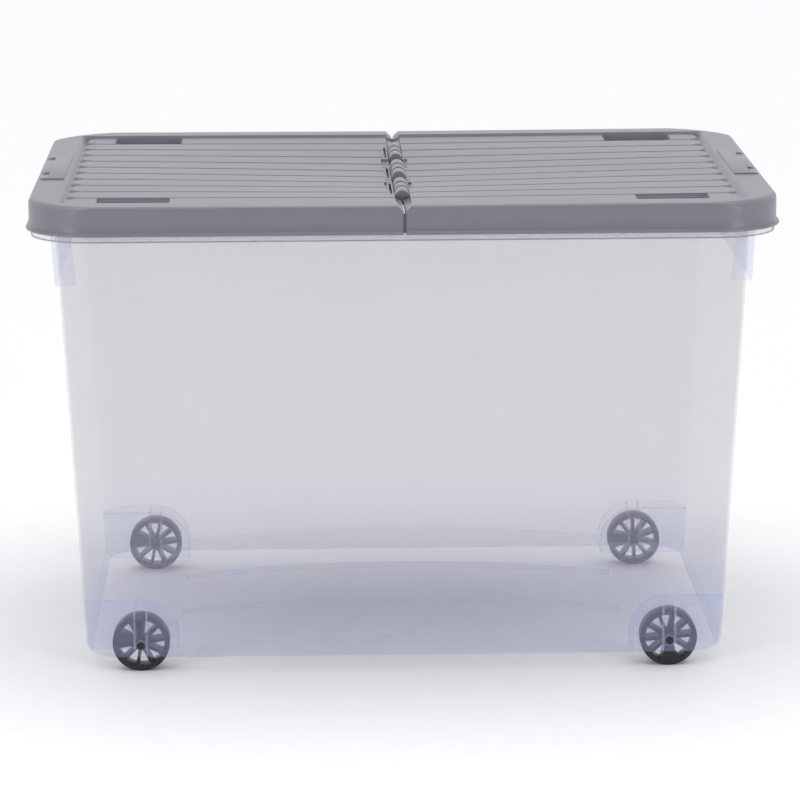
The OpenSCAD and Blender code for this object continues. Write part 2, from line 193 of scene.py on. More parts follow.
class Shape:
    """Vertices and faces gathered from several closed solids."""

    def __init__(self):
        self.verts = []
        self.faces = []

    def add(self, verts, faces):
        start = len(self.verts)
        self.verts += [Vector(v) for v in verts]
        self.faces += [[start + i for i in f] for f in faces]
        return self

    def loops(self, rings, closed=False, capped=True):
        """Quads between rings of equal length; closed joins the last ring to the first."""
        n = len(rings[0])
        verts = [p for ring in rings for p in ring]
        pairs = [(k, k + 1) for k in range(len(rings) - 1)]
        if closed:
            pairs.append((len(rings) - 1, 0))
        faces = [[a * n + i, a * n + (i + 1) % n, b * n + (i + 1) % n, b * n + i]
                 for a, b in pairs for i in range(n)]
        if capped and not closed:
            faces.append(list(range(n)))
            faces.append([(len(rings) - 1) * n + i for i in range(n)])
        return self.add(verts, faces)

    def prism_y(self, outline, y0, y1):
        """An outline of (x, z) points, extruded from y0 to y1."""
        return self.loops([[(x, y, z) for x, z in outline] for y in (y0, y1)])

    def box(self, low, high):
        (x0, y0, z0), (x1, y1, z1) = low, high
        return self.prism_y([(x0, z0), (x1, z0), (x1, z1), (x0, z1)], y0, y1)

    def barrel(self, x, z, r, y0, y1, hollow=(False, False), edge=0.6 * MM, sides=48):
        """A cylinder along Y with rounded ends; hollow says which ends have a deep round recess."""
        sections = [(y0, r - edge), (y0 + 0.3 * edge, r - 0.3 * edge), (y0 + edge, r),
                    (y1 - edge, r), (y1 - 0.3 * edge, r - 0.3 * edge), (y1, r - edge)]
        recess_deep = 10 * MM
        recess_r = r - 1.7 * MM
        if hollow[0]:
            sections = [(y0 + recess_deep, recess_r), (y0, recess_r)] + sections
        if hollow[1]:
            sections = sections + [(y1, recess_r), (y1 - recess_deep, recess_r)]
        return self.loops([[(x + q * math.cos(a), y, z + q * math.sin(a))
                            for a in (2 * math.pi * i / sides for i in range(sides))]
                           for y, q in sections])

    def mirrored(self, sx, sy):
        """The same solids with x and y multiplied by sx and sy."""
        out = Shape()
        out.verts = [Vector((v.x * sx, v.y * sy, v.z)) for v in self.verts]
        out.faces = [list(f) for f in self.faces]
        return out


def rounded_ring(hx, hy, r, z, steps=12):
    """A rectangle with round corners at height z, counter-clockwise."""
    points = []
    for corner, (sx, sy) in enumerate(((1, 1), (-1, 1), (-1, -1), (1, -1))):
        for i in range(steps + 1):
            a = math.pi / 2 * (corner + i / steps)
            points.append((sx * (hx - r) + r * math.cos(a), sy * (hy - r) + r * math.sin(a), z))
    return points


# ---------------------------------------------------------------- materials
def principled(name, color, roughness, **sockets):
    """A Principled material, as (material, nodes, links, shader)."""
    mat = bpy.data.materials.new(name)
    mat.use_nodes = True
    shader = mat.node_tree.nodes["Principled BSDF"]
    shader.inputs["Base Color"].default_value = (*color, 1)
    shader.inputs["Roughness"].default_value = roughness
    for key, value in sockets.items():
        shader.inputs[key.replace("_", " ")].default_value = value
    return mat, mat.node_tree.nodes, mat.node_tree.links, shader


def noise(nodes, links, scale, detail=3.0, stretch=(1, 1, 1)):
    """A noise texture in the object's own space."""
    coords = nodes.new("ShaderNodeTexCoord")
    mapping = nodes.new("ShaderNodeMapping")
    mapping.inputs["Scale"].default_value = stretch
    tex = nodes.new("ShaderNodeTexNoise")
    tex.inputs["Scale"].default_value = scale
    tex.inputs["Detail"].default_value = detail
    links.new(coords.outputs["Object"], mapping.inputs["Vector"])
    links.new(mapping.outputs["Vector"], tex.inputs["Vector"])
    return tex


def ramp(nodes, links, source, stops):
    """Maps a 0 to 1 value to colours; stops is a list of (position, rgb)."""
    node = nodes.new("ShaderNodeValToRGB")
    elements = node.color_ramp.elements
    while len(elements) < len(stops):
        elements.new(0.5)
    for element, (at, rgb) in zip(elements, stops):
        element.position = at
        element.color = (*rgb, 1)
    links.new(source, node.inputs["Fac"])
    return node


def multiply(nodes, links, first, second):
    """The product of two colours."""
    mix = nodes.new("ShaderNodeMix")
    mix.data_type = "RGBA"
    mix.blend_type = "MULTIPLY"
    mix.inputs["Factor"].default_value = 1
    links.new(first.outputs["Color"], mix.inputs["A"])
    links.new(second.outputs["Color"], mix.inputs["B"])
    return mix


def add_bump(nodes, links, shader, texture, height, strength):
    """Lets a texture roughen the surface."""
    bump = nodes.new("ShaderNodeBump")
    bump.inputs["Distance"].default_value = height
    bump.inputs["Strength"].default_value = strength
    links.new(texture.outputs["Fac"], bump.inputs["Height"])
    links.new(bump.outputs["Normal"], shader.inputs["Normal"])


def vary_roughness(nodes, links, shader, texture, low, high):
    """Lets a texture move the roughness between low and high."""
    spread = nodes.new("ShaderNodeMapRange")
    spread.inputs["To Min"].default_value = low
    spread.inputs["To Max"].default_value = high
    links.new(texture.outputs["Fac"], spread.inputs["Value"])
    links.new(spread.outputs["Result"], shader.inputs["Roughness"])


def clear_plastic(name, top, bottom, alpha):
    """Milky see-through plastic that turns from one tint at the rim to another at the bottom."""
    mat, nodes, links, shader = principled(name, top, 0.28, Alpha=alpha, IOR=1.49)
    coords = nodes.new("ShaderNodeTexCoord")
    split = nodes.new("ShaderNodeSeparateXYZ")
    height = nodes.new("ShaderNodeMapRange")
    height.inputs["From Min"].default_value = TUB_Z
    height.inputs["From Max"].default_value = RIM_Z
    links.new(coords.outputs["Object"], split.inputs["Vector"])
    links.new(split.outputs["Z"], height.inputs["Value"])
    tint = ramp(nodes, links, height.outputs["Result"], [(0.08, bottom), (0.35, top)])
    flow = noise(nodes, links, 6, 4, (0.5, 0.5, 2.0))
    cloud = ramp(nodes, links, flow.outputs["Fac"], [(0.3, (0.93, 0.93, 0.94)), (0.7, (1, 1, 1))])
    mix = multiply(nodes, links, tint, cloud)
    links.new(mix.outputs["Result"], shader.inputs["Base Color"])
    fine = noise(nodes, links, 90, 2)
    vary_roughness(nodes, links, shader, fine, 0.24, 0.36)
    add_bump(nodes, links, shader, flow, 0.6 * MM, 0.25)
    return mat


def lid_plastic():
    """Satin grey moulded plastic with a fine spark-eroded grain."""
    mat, nodes, links, shader = principled("lid_grey", (0.205, 0.2, 0.225), 0.34, IOR=1.49)
    broad = noise(nodes, links, 5, 4)
    tint = ramp(nodes, links, broad.outputs["Fac"],
                [(0.25, (0.19, 0.189, 0.222)), (0.75, (0.205, 0.204, 0.238))])
    links.new(tint.outputs["Color"], shader.inputs["Base Color"])
    grain = noise(nodes, links, 1400, 2)
    vary_roughness(nodes, links, shader, broad, 0.3, 0.38)
    add_bump(nodes, links, shader, grain, 0.05 * MM, 0.5)
    return mat


def wheel_plastic():
    """Smooth black plastic, a little scuffed on the tread."""
    mat, nodes, links, shader = principled("wheel_black", (0.012, 0.012, 0.014), 0.35, IOR=1.5)
    scuff = noise(nodes, links, 160, 5)
    tint = ramp(nodes, links, scuff.outputs["Fac"],
                [(0.4, (0.010, 0.010, 0.012)), (0.75, (0.022, 0.022, 0.026))])
    links.new(tint.outputs["Color"], shader.inputs["Base Color"])
    vary_roughness(nodes, links, shader, scuff, 0.28, 0.5)
    return mat


CLEAR = clear_plastic("tub_clear", (0.455, 0.445, 0.50), (0.37, 0.40, 0.60), 0.18)
# painted shadow: the dark band under the rim
RIM_SHADOW_PAINT = clear_plastic("tub_rim_painted_shadow", (0.16, 0.17, 0.26), (0.16, 0.17, 0.26), 0.45)
# painted light: the floor's plastic is lighter and clearer than the walls' to make up for the shade it
# lies in under the lid
FLOOR_PAINTED_LIGHT = clear_plastic("tub_floor_painted_light", (0.66, 0.66, 0.76), (0.66, 0.66, 0.76), 0.09)
HOUSING = clear_plastic("tub_clear_housing", (0.52, 0.58, 0.92), (0.52, 0.58, 0.92), 0.1)
GUIDE = clear_plastic("tub_clear_guide", (0.80, 0.81, 0.90), (0.80, 0.81, 0.90), 0.2)
GREY = lid_plastic()
BLACK = wheel_plastic()


# ---------------------------------------------------------------- tub
def wall_at(z, inset=0.0):
    """Half length, half depth and corner radius of the tub's outside at height z."""
    t = (z - TUB_Z) / (RIM_Z - TUB_Z)
    r = CORNER_LOW + (CORNER_HIGH - CORNER_LOW) * t
    return BASE_X + LEAN * t - inset, BASE_Y + LEAN * t - inset, r - inset


def floor_at(x):
    """Height of the floor's top."""
    radius = (CROWN_X ** 2 + CROWN ** 2) / (2 * CROWN)
    across = min(abs(x), CROWN_X)
    return FLOOR_Z + CROWN - (radius - math.sqrt(radius ** 2 - across ** 2))


def tub_wall():
    """The four walls with the turned-out rim: one closed section carried round the corners."""
    def rim(inset, down):
        return RIM_X - inset, RIM_Y - inset, RIM_CORNER - inset, RIM_Z - down

    def side(z, inset=0.0):
        return *wall_at(z, inset), z

    edge = 0.8 * MM
    sections = [
        side(TUB_Z, 4.6 * MM), side(TUB_Z + 0.5 * MM, 3.6 * MM), side(TUB_Z + 1.6 * MM, 2.2 * MM),
        side(TUB_Z + 3.6 * MM, 0.9 * MM), side(TUB_Z + 7 * MM),
        side(TUB_Z + 150 * MM), side(TUB_Z + 300 * MM), side(RIM_Z - 8 * MM),
        side(RIM_Z - 4.4 * MM, -0.7 * MM), side(RIM_Z - 3 * MM, -2.6 * MM),
        rim(2.3 * MM, 3 * MM), rim(2.3 * MM, 5 * MM),
        rim(1.7 * MM, 5.4 * MM), rim(0.6 * MM, 5.4 * MM),
        rim(0, 4.8 * MM), rim(0, edge), rim(0.3 * edge, 0.3 * edge), rim(edge, 0),
        side(RIM_Z, WALL - 1.2 * MM), side(RIM_Z - 0.4 * MM, WALL - 0.3 * MM),
        side(RIM_Z - 1.4 * MM, WALL),
        side(TUB_Z + 300 * MM, WALL), side(TUB_Z + 150 * MM, WALL), side(TUB_Z + 8 * MM, WALL),
        side(TUB_Z + 3.6 * MM, WALL + 0.8 * MM), side(TUB_Z, 6.4 * MM),
    ]
    shape = Shape().loops([rounded_ring(*s) for s in sections], closed=True)
    return make("tub_wall", shape.verts, shape.faces, "tub", "tub_plastic", CLEAR)


def wall_reach(z, y):
    """How far out in x the middle of the tub's wall is at height z and depth y, corner included."""
    hx, hy, r = wall_at(z, WALL * 0.5)
    into = max(0.0, y - (hy - r))
    return hx - r + math.sqrt(max(0.0, r * r - into * into))


def tub_grips():
    """The stepped skirt under the rim at both ends: a thin sheet with a plate at each side."""
    top, low = RIM_Z - 3.2 * MM, RIM_Z - GRIP_DEEP
    out = RIM_X - 22.3 * MM
    sheet = [(out, top), (out - 3.2 * MM, low + 5 * MM), (out - 3.8 * MM, low + 1.2 * MM),
             (out - 4.6 * MM, low), (out - 5.6 * MM, low + 1.6 * MM),
             (out - 5.0 * MM, low + 5 * MM), (out - 2 * MM, top)]
    plate = [(wall_reach(top, GRIP_Y), top)] + sheet[:4] + [(wall_reach(low, GRIP_Y), low)]
    shape = Shape()
    for sx in (1, -1):
        shape.prism_y([(sx * x, z) for x, z in sheet], -GRIP_Y, GRIP_Y)
        for y in (-GRIP_Y, GRIP_Y - WALL):
            shape.prism_y([(sx * x, z) for x, z in plate], y, y + WALL)
    return make("tub_grips", shape.verts, shape.faces, "tub", "tub_plastic", HOUSING)


def rim_shadow_band():
    """A thin dark band just under the rim: a painted shadow under the rim's overhang."""
    z0, z1 = RIM_Z - 6.4 * MM, RIM_Z - 5.2 * MM
    rings = [rounded_ring(RIM_X - i, RIM_Y - i, RIM_CORNER - i, z)
             for i, z in ((0.2 * MM, z0), (0.2 * MM, z1), (1.6 * MM, z1), (1.6 * MM, z0))]
    shape = Shape().loops(rings, closed=True)
    return make("tub_rim_shadow_band", shape.verts, shape.faces, "tub", "tub_plastic", RIM_SHADOW_PAINT)


def tub_floor():
    """The crowned floor between the wheel housings, a thick sheet with two ribs below."""
    end, side = wall_at(FLOOR_Z, WALL * 0.6)[:2]
    inner = HOUSE_Y + WALL * 0.4
    edge = CROWN_X + WALL * 0.4
    steps = 28
    xs = [-end] + [edge * (2 * i / steps - 1) for i in range(steps + 1)] + [end]
    ys = [-side, -inner, inner, side]
    verts, faces = [], []
    for down in (0, WALL):
        for x in xs:
            for y in ys:
                verts.append((x, y, floor_at(x) - down))
    half = len(xs) * len(ys)

    def at(i, j, k):
        return k * half + i * len(ys) + j

    housings = (0, len(xs) - 2)
    cells = [(i, j) for i in range(len(xs) - 1) for j in range(3) if i not in housings or j == 1]
    count = {}
    for i, j in cells:
        quad = [(i, j), (i + 1, j), (i + 1, j + 1), (i, j + 1)]
        faces.append([at(*q, 0) for q in quad])
        faces.append([at(*q, 1) for q in reversed(quad)])
        for a, b in zip(quad, quad[1:] + quad[:1]):
            key = frozenset((a, b))
            count[key] = None if key in count else (a, b)
    for pair in count.values():
        if pair:
            a, b = pair
            faces.append([at(*a, 0), at(*a, 1), at(*b, 1), at(*b, 0)])
    shape = Shape().add(verts, faces)
    used = sorted({i for f in shape.faces for i in f})
    order = {old: new for new, old in enumerate(used)}
    shape.verts = [shape.verts[i] for i in used]
    shape.faces = [[order[i] for i in f] for f in shape.faces]
    ribs = Shape()
    for y in (-FLOOR_RIB_Y, FLOOR_RIB_Y):
        rings = []
        for x in [edge * (2 * i / 24 - 1) for i in range(25)]:
            z = floor_at(x) - WALL * 0.6
            rings.append([(x, y - WALL / 2, z), (x, y + WALL / 2, z),
                          (x, y + WALL / 2, z - FLOOR_RIB_DEEP), (x, y - WALL / 2, z - FLOOR_RIB_DEEP)])
        ribs.loops(rings)
    make("tub_floor_ribs", ribs.verts, ribs.faces, "tub", "tub_plastic", HOUSING)
    # the floor's lighter plastic is painted light for the shade under the lid
    return make("tub_floor", shape.verts, shape.faces, "tub", "tub_plastic", FLOOR_PAINTED_LIGHT)


def house_line(r, low, y):
    """The open outline of a wheel housing at y: up its side, over the arch, out to the tub's wall."""
    arc = [(AXLE_X - r * math.cos(a), AXLE_Z + r * math.sin(a))
           for a in (math.pi / 2 * i / 14 for i in range(15))]
    top = AXLE_Z + r
    return [(AXLE_X - r, low)] + arc + [(wall_reach(top, y), top)]


def tub_housing(sx, sy, name):
    """A wheel housing, open below, and the plates inside it that guide the axle."""
    shape = Shape()
    wall_in = wall_at(TUB_Z + 30 * MM, WALL * 0.6)[1]
    start = HOUSE_Y + WALL * 0.5
    depths = [start + (wall_in - start) * i / 10 for i in range(11)]
    rings = []
    for y in depths:
        line = house_line(HOUSE_R, TUB_Z, y) + house_line(HOUSE_R - WALL, TUB_Z, y)[::-1]
        rings.append([(x, y, z) for x, z in line])
    shape.loops(rings)
    foot = TUB_Z + 8 * MM
    back = house_line(HOUSE_R, TUB_Z, HOUSE_Y)
    back += [(wall_reach(foot, HOUSE_Y), foot), (wall_reach(TUB_Z, HOUSE_Y) - 5 * MM, TUB_Z)]
    shape.prism_y(back, HOUSE_Y, HOUSE_Y + WALL)
    flipped = shape.mirrored(sx, sy)
    make(name, flipped.verts, flipped.faces, "tub", "tub_plastic", HOUSING)
    guides = Shape()
    deck = AXLE_Z + HOUSE_R - WALL * 0.6
    for s in (-1, 1):
        x = AXLE_X + s * GUIDE_GAP
        for y0, y1 in ((start, WHEEL_IN - 2.4 * MM), (WHEEL_OUT + 2.0 * MM, wall_in)):
            guides.box((x - 0.9 * MM, y0, TUB_Z + 2 * MM), (x + 0.9 * MM, y1, deck))
    flipped = guides.mirrored(sx, sy)
    make(name + "_guides", flipped.verts, flipped.faces, "tub", "tub_plastic", GUIDE)


def axle_bosses():
    """A thin raised ring on the outside wall round each axle end."""
    shape = Shape()
    r_in = AXLE_R + 0.2 * MM
    r_out = r_in + 2.2 * MM
    y_wall = wall_at(AXLE_Z)[1]
    for sx in (1, -1):
        for sy in (1, -1):
            rings = []
            for r, y in ((r_in, y_wall - 1.5 * MM), (r_out, y_wall - 1.5 * MM),
                         (r_out, y_wall + 0.5 * MM), (r_out - 0.5 * MM, y_wall + 1.0 * MM),
                         (r_in, y_wall + 1.0 * MM)):
                rings.append([(sx * AXLE_X + r * math.cos(a), sy * y, AXLE_Z + r * math.sin(a))
                              for a in (2 * math.pi * i / 40 for i in range(40))])
            shape.loops(rings, closed=True)
    return make("tub_axle_bosses", shape.verts, shape.faces, "tub", "tub_plastic", CLEAR)


# ---------------------------------------------------------------- lid
def panel_level(x, y):
    """The sagging surface that the bars of the panel follow, before grooves."""
    away = 1 - min(1.0, x / PANEL_X)
    return BORDER_Z - 2.4 * MM - SAG * away ** 1.15 * math.exp(-(y / (185 * MM)) ** 2)


def border_level(x):
    """The plain border, which sags a little towards the split."""
    away = 1 - min(1.0, x / PANEL_X)
    return BORDER_Z - 1.0 * MM * away


def rect_distance(x, y, x0, x1, y0, y1, r):
    """Signed distance to a rectangle with round corners, negative inside."""
    cx, cy = (x0 + x1) / 2, (y0 + y1) / 2
    dx = abs(x - cx) - (x1 - x0) / 2 + r
    dy = abs(y - cy) - (y1 - y0) / 2 + r
    return math.hypot(max(dx, 0), max(dy, 0)) + min(max(dx, dy), 0) - r


def bar_at(y):
    """The near and far side of the panel bar that y lies on."""
    edges = [-BAR_Y] + GROOVES + [BAR_Y]
    for a, b in zip(edges, edges[1:]):
        if y <= b:
            return a, b
    return edges[-2], edges[-1]


def hollowed(z, x, y, grow=0.0):
    """The height z lowered at the hinge line: a trough round the barrels, a scoop at its ends."""
    r = TROUGH_R + grow
    if abs(x) < r and abs(y) < TROUGH_Y:
        return min(z, HINGE_Z - math.sqrt(r * r - x * x))
    deep = r * r - x * x - max(0.0, abs(y) - SCOOP_Y) ** 2
    if deep > 0:
        z -= 0.62 * math.sqrt(deep)
    return min(z, relief_level(x) - 1.4 * grow)


def relief_level(x):
    """The slope near the split that lets one half of the lid stand up beside the other."""
    return HINGE_Z - 0.4 * MM + abs(x)


def pocket(x, y, grow=0.0):
    """Depth of the grip pocket at this point."""
    d = rect_distance(x, abs(y), POCKET_X[0] - grow, POCKET_X[1] + grow,
                      POCKET_Y[0] - grow, POCKET_Y[1] + grow, POCKET_CORNER)
    return POCKET_DEEP * (1 - smoothstep(-0.9 * MM, 0.7 * MM, d))


def hinge_slot(x, y):
    """Depth of the narrow slot beside each hinge, on the left half only."""
    along = min(abs(y - h) for h in HINGES)
    return SLOT_DEEP if SLOT_X[0] < x < SLOT_X[1] and along < SLOT_Y else 0.0


def border_share(x, y):
    """How far the surface has risen from the panel to the border, 0 to 1."""
    return max(smoothstep(BAR_X + 1 * MM, PANEL_X, x), smoothstep(BAR_Y + 0.6 * MM, PANEL_Y, abs(y)))


def panel_top(x, y):
    """The panel's top with its bars, grooves and pockets."""
    y0, y1 = bar_at(y)
    d = rect_distance(x, y, -BAR_X, BAR_X, y0 + 1.1 * MM, y1 - 1.1 * MM, BAR_CORNER)
    z = panel_level(x, y) - 3.6 * MM * smoothstep(-1.1 * MM, 0.7 * MM, d)
    z += (border_level(x) - z) * border_share(x, y)
    return hollowed(z - pocket(x, y), x, y)


def panel_under(x, y):
    """The panel's underside, without the bars."""
    z = panel_level(x, y) - PANEL_SHEET
    z += (border_level(x) - LID_WALL - z) * border_share(x, y)
    return hollowed(z - pocket(x, y, POCKET_WALL), x, y, TROUGH_WALL)


def line_set(values, low, high):
    """Sorted grid lines between low and high, without near doubles."""
    out = []
    for v in sorted(v for v in values if low <= v <= high):
        if not out or v - out[-1] > 0.25 * MM:
            out.append(v)
    return out


def lid_lines():
    """Grid lines of the panel: close together where it bends, at the split, pockets and bar ends."""
    def mm(values):
        return [v * MM for v in values]

    xs = mm([1.2, 1.45, 1.9, 2.6, 3.6, 5, 6.5, 7.5, 7.9, 8.15, 8.6, 9.4, 10.2, 10.5, 12.3, 12.6, 14.5])
    xs += mm(range(24, 240, 20))
    xs += mm([242, 243.8, 244.6, 245.4, 246.4, 248, 250.5, 253.5, 268, 282, 297, 311.5])
    xs += mm([314.5, 317, 318.6, 319.6, 320.4, 321.2, 323, 328])
    xs += mm([334, 338, 340, 342.5, 345, 347.5, 349.5, 351, 352, 353, 354, 355.5, 357, 359, 361])
    offsets = [0, 0.35, 0.7, 1.05, 1.4, 1.9, 3, 5, 8, 12.5]
    ys = [g + s * o * MM for g in GROOVES for o in offsets for s in (1, -1)]
    ys += [g + PITCH / 2 for g in GROOVES[:-1]]
    sides = mm([186.5, 187.5, 206, 219, 222.5, 226, 229.5, 233, 237, 241, 244, 246.5])
    sides += mm([248.3, 249.3, 250, 250.8, 251.4, 252, 253, 254.4, 256]) + [LATCH_Y]
    ys += [s * v for v in sides for s in (1, -1)]
    for h in HINGES:
        ys += [h + s * v * MM for v in (37.6, 38.4) for s in (1, -1)]
    return line_set(xs, SPLIT, PANEL_X), line_set(ys, -PANEL_Y, PANEL_Y)


def outline_point(x, y):
    """Maps a point on the panel's edge to the lid's outside: (point, outward normal, corner share)."""
    xc, yc = LID_X - LID_CORNER, LID_Y - LID_CORNER
    s = 1 if y > 0 else -1
    if x < PANEL_X - 1e-9 and x <= xc:
        return Vector((x, s * LID_Y)), Vector((0, s)), 0.0
    if abs(y) <= yc:
        return Vector((LID_X, y)), Vector((1, 0)), 0.0
    whole = (PANEL_X - xc) + (PANEL_Y - yc)
    along = (x - xc) + (PANEL_Y - abs(y))
    a = math.pi / 2 * along / whole
    n = Vector((math.sin(a), s * math.cos(a)))
    return Vector((xc, s * yc)) + LID_CORNER * n, n, math.sin(2 * a)


def lid_half(name, sx, body, node):
    """One half of the lid: a closed shell whose top and underside share one layout."""
    xs, ys = lid_lines()

    def split_drop(x):
        """How far the outside steps in at the split, as a quarter circle."""
        left = SPLIT_ROUND - (x - SPLIT)
        if left <= 0:
            return 0.0
        return SPLIT_ROUND - math.sqrt(SPLIT_ROUND ** 2 - left ** 2)

    top, under, faces = [], [], []
    for x in xs:
        for y in ys:
            top.append((x, y, panel_top(x, y) - (hinge_slot(x, y) if sx < 0 else 0)))
            under.append((x, y, panel_under(x, y)))
    ny = len(ys)
    for i in range(len(xs) - 1):
        for j in range(ny - 1):
            faces.append([i * ny + j, (i + 1) * ny + j, (i + 1) * ny + j + 1, i * ny + j + 1])
    path = [i * ny for i in range(len(xs))]
    path += [(len(xs) - 1) * ny + j for j in range(1, ny)]
    path += [i * ny + ny - 1 for i in reversed(range(len(xs) - 1))]
    previous = path
    arc = [math.pi / 2 * i / 7 for i in range(8)]
    wall_foot = LIP_Z + 4.2 * MM
    lip_top = LIP_Z + 2.8 * MM
    # outside of the bottom lip: how far in from the wall (negative is out), in mm, and the height
    lip = [(-0.4, lip_top + 0.5 * MM), (-1.0, lip_top), (-2.4, lip_top), (-3.0, lip_top - 0.4 * MM),
           (-3.2, lip_top - 1.0 * MM), (-3.2, LIP_Z + 0.6 * MM), (-2.7, LIP_Z)]
    rings = [("flat", t) for t in (0.1, 0.2, 0.3, 0.4, 0.55, 0.75)] + [("arc", a) for a in arc]
    rings += [("wall", 0.5), ("wall", 1.0)] + [("lip", k) for k in range(len(lip))]
    for kind, value in rings:
        ring = []
        for index in path:
            x, y, _ = top[index]
            drop = split_drop(x)
            edge, n, corner = outline_point(x, y)
            re = TOP_ROUND + (CORNER_ROUND - TOP_ROUND) * corner
            level = border_level(x)
            relief = relief_level(x)
            if kind == "flat":
                goal = edge - n * re
                p = Vector((x, y)).lerp(goal, value)
                a = (p.x, p.y, hollowed(level, p.x, p.y))
                b = (p.x, p.y, hollowed(level - LID_WALL, p.x, p.y, 2 * MM))
            elif kind == "arc":
                p = edge - n * (re - (re - drop) * math.sin(value))
                q = edge - n * (re - (re - LID_WALL) * math.sin(value))
                a = (p.x, p.y, level - re + (re - drop) * math.cos(value))
                b = (q.x, q.y, level - re + (re - LID_WALL) * math.cos(value))
            elif kind == "wall":
                high = level - re
                p, q = edge - n * drop, edge - n * LID_WALL
                a = (p.x, p.y, high + (wall_foot - high) * value)
                b = (q.x, q.y, high + (wall_foot - high) * value)
            else:
                out, z_lip = lip[value]
                if x > LID_X - LID_CORNER and abs(y) < LATCH_Y + 1 * MM:
                    out = -0.15     # no lip behind a latch
                p, q = edge - n * (drop + out * MM), edge - n * LID_WALL
                a = (p.x, p.y, z_lip)
                b = (q.x, q.y, wall_foot + (LIP_Z - wall_foot) * (value + 1) / len(lip))
            ring.append(len(top))
            top.append((a[0], a[1], min(a[2], relief)))
            under.append((b[0], b[1], min(b[2], relief - 2.8 * MM)))
        for i in range(len(path) - 1):
            faces.append([previous[i], previous[i + 1], ring[i + 1], ring[i]])
        previous = ring
    count = {}
    for f in faces:
        for a, b in zip(f, f[1:] + f[:1]):
            key = (min(a, b), max(a, b))
            count[key] = None if key in count else (a, b)
    n = len(top)
    shell = faces + [[i + n for i in reversed(f)] for f in faces]
    shell += [[b, a, a + n, b + n] for a, b in (e for e in count.values() if e)]
    verts = [(sx * x, y, z) for x, y, z in top + under]
    obj = make(name, verts, shell, body, "lid_plastic", GREY, sharp=38)
    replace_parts(obj, node)
    return obj


def hinge_parts():
    """Three hinges: two lugs and a bar on the left half round a knuckle of the right half."""
    left, right, frames, flanges = Shape(), Shape(), Shape(), Shape()
    z = HINGE_Z
    bar_half, bar_r = HINGE_BAR
    web_half = 10 * MM
    web_end = 46 * MM
    for y in HINGES:
        left.barrel(0, z, BARREL_R, y - LUG[1], y - LUG[0], hollow=(False, True))
        left.barrel(0, z, BARREL_R, y + LUG[0], y + LUG[1], hollow=(True, False))
        left.barrel(0, z, bar_r, y - bar_half, y + bar_half, sides=32)
        right.barrel(0, z, BARREL_R, y - KNUCKLE, y + KNUCKLE, hollow=(True, True))
        right.box((5 * MM, y - web_half, z - 5 * MM), (11 * MM, y + web_half, z - 2 * MM))
        top = panel_level(10 * MM, y) + 0.8 * MM
        low = top - 6 * MM
        for x0, x1 in ((-14.6 * MM, -12.6 * MM), (-10.2 * MM, -8.4 * MM)):
            frames.box((x0, y - HINGE_END, low), (x1, y + HINGE_END, top))
        for s in (1, -1):
            web = sorted((y + s * bar_half, y + s * web_end))
            left.box((-11 * MM, web[0], z - 6 * MM), (-4 * MM, web[1], z - 1 * MM))
            block = sorted((y + s * (HINGE_END - 10 * MM), y + s * HINGE_END))
            frames.box((-13 * MM, block[0], low), (-9.8 * MM, block[1], top))
            ends = sorted((y + s * (HINGE_END - 1.4 * MM), y + s * (HINGE_END + 0.4 * MM)))
            frames.box((-17 * MM, ends[0], low), (-8.4 * MM, ends[1], top + 0.3 * MM))
            flanges.box((8.6 * MM, ends[0], low), (12.5 * MM, ends[1], top + 0.3 * MM))
    soft = 0.4 * MM
    make("hinge_lugs", left.verts, left.faces, "lid_left", "lid_plastic", GREY)
    make("hinge_frames", frames.verts, frames.faces, "lid_left", "lid_plastic", GREY, bevel=soft)
    make("hinge_knuckles", right.verts, right.faces, "lid_right", "lid_plastic", GREY)
    make("hinge_flanges", flanges.verts, flanges.faces, "lid_right", "lid_plastic", GREY, bevel=soft)


def split_tongues():
    """A thin tab of the left half that closes the view through the split in the long walls."""
    shape = Shape()
    outer = LID_Y - LID_WALL - 0.5 * MM
    for s in (1, -1):
        ends = sorted((s * outer, s * (outer - 1.4 * MM)))
        shape.box((-9 * MM, ends[0], LIP_Z + 1 * MM), (5 * MM, ends[1], HINGE_Z - 1.5 * MM))
    make("split_tongues", shape.verts, shape.faces, "lid_left", "lid_plastic", GREY, bevel=0.4 * MM)


def latch_pad(sx, body, name):
    """The raised pad on the lid behind a latch, with a notch for each knuckle."""
    top = PAD_Z
    low = BORDER_Z - 1 * MM
    x_in, x_mid = PANEL_X + 0.5 * MM, LATCH_X - 6 * MM
    shape = Shape()
    plate = [(x_in, low), (x_in + 0.8 * MM, top), (x_mid, top), (x_mid, low)]
    shape.prism_y([(sx * x, z) for x, z in plate], -LATCH_Y, LATCH_Y)
    notch = 10.5 * MM
    inner, outer = LATCH_KNUCKLE_Y - notch, LATCH_KNUCKLE_Y + notch
    spans = ((-LATCH_Y, -outer), (-inner, inner), (outer, LATCH_Y))
    curve = [(x_mid - 0.5 * MM, low - 3 * MM), (x_mid - 0.5 * MM, top)]
    for a in (math.pi / 2 * i / 5 for i in range(6)):
        curve.append((LATCH_X - 2 * MM + 7.6 * MM * math.sin(a),
                      LATCH_Z + (top - LATCH_Z) * math.cos(a)))
    curve.append((LATCH_X + 5.6 * MM, LATCH_Z - 1.5 * MM))
    curve.append((LATCH_X + 2 * MM, LATCH_Z - 2.5 * MM))
    for y0, y1 in spans:
        shape.prism_y([(sx * x, z) for x, z in curve], y0, y1)
    make(name, shape.verts, shape.faces, body, "lid_plastic", GREY, bevel=0.5 * MM)


